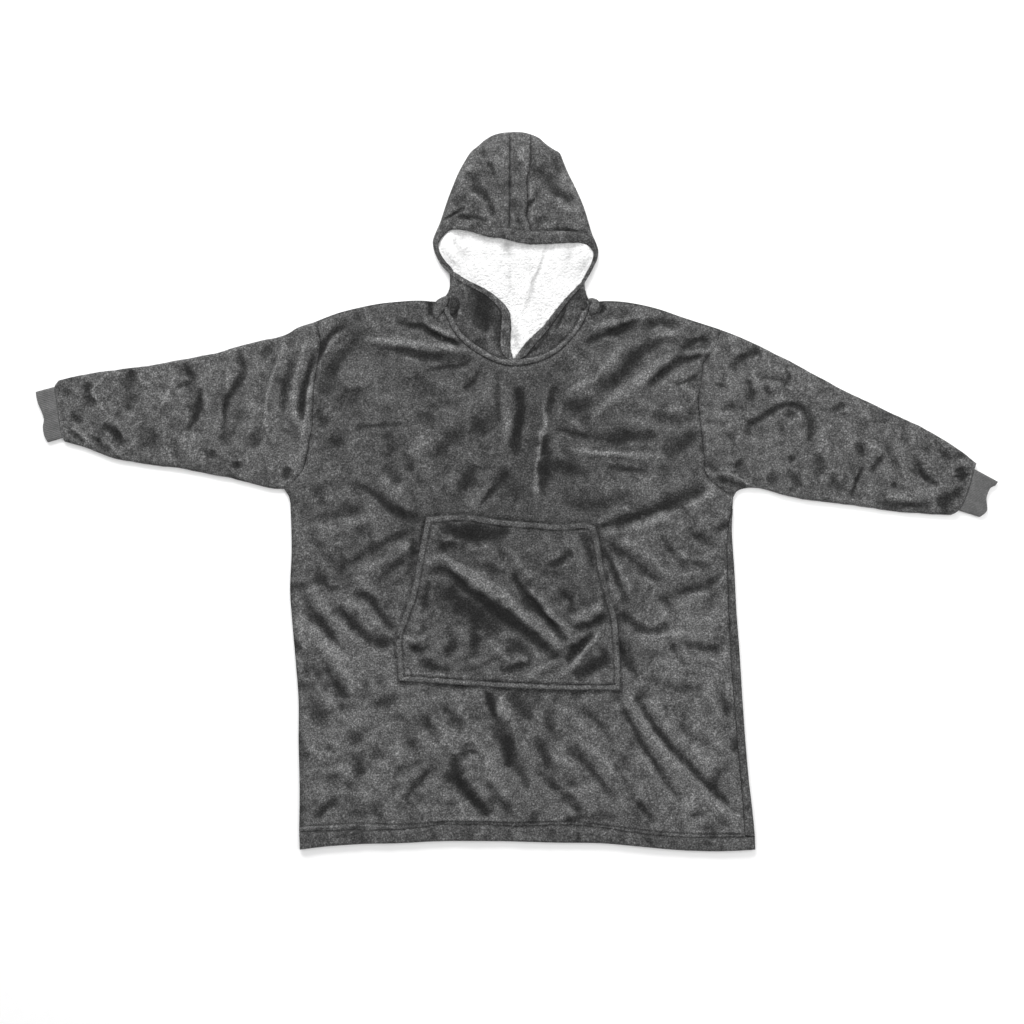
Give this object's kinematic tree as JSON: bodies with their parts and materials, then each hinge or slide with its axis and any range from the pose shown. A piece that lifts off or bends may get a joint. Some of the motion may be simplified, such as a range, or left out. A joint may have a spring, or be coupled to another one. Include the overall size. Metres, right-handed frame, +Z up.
{
  "type": "oversized blanket hoodie",
  "caption": "Oversized plush hoodie laid flat, front up, with a sherpa-lined hood, wide sleeves, ribbed cuffs, a deep hem and a front pouch pocket.",
  "frame": {"origin": "centre of the garment's outline, on the surface that it lies on", "axes": "+X towards the wearer's left sleeve, +Y towards the hood, +Z up out of the front"},
  "size_m": [1.73, 1.2905, 0.0289],
  "materials": {
    "plush": "dark grey brushed flannel plush with a crushed, mottled nap",
    "rib_knit": "mid grey rib knit",
    "sherpa": "white curly sherpa pile"
  },
  "bodies": {
    "root": {"body_back": "plush", "body_front": "plush", "hem_band": "plush", "sleeve_right": "plush", "sleeve_left": "plush", "cuff_right": "rib_knit", "cuff_left": "rib_knit", "hood_right": "plush", "hood_left": "plush", "hood_centre": "plush", "hood_brim": "plush", "hood_lining": "sherpa", "pocket": "plush"}
  },
  "joints": []
}
